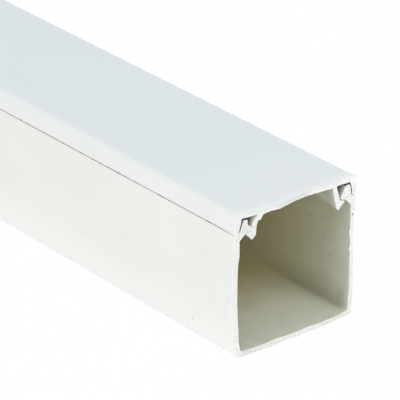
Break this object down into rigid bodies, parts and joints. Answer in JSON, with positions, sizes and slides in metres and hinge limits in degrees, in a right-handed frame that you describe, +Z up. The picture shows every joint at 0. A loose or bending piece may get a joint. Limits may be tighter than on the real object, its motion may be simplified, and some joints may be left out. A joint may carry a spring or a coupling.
{
  "type": "cord cover raceway",
  "caption": "Square plastic cable raceway: an open channel with hooked walls and a clip-on lid whose legs catch under the hooks.",
  "frame": {"origin": "centre of the underside", "axes": "+Y along the length, the end that the picture shows at -Y; +X across the width; +Z up, from the channel's floor to the lid"},
  "size_m": [0.04, 0.4, 0.04],
  "materials": {
    "channel_pvc": "satin",
    "lid_pvc": "satin"
  },
  "bodies": {
    "channel": {"base_channel": "channel_pvc"},
    "cover": {"snap_lid": "lid_pvc"}
  },
  "joints": [
    {"name": "lid_slide", "type": "slide", "parent": "channel", "child": "cover", "axis": [0, 1, 0], "range_m": [-0.41, 0.41]}
  ]
}
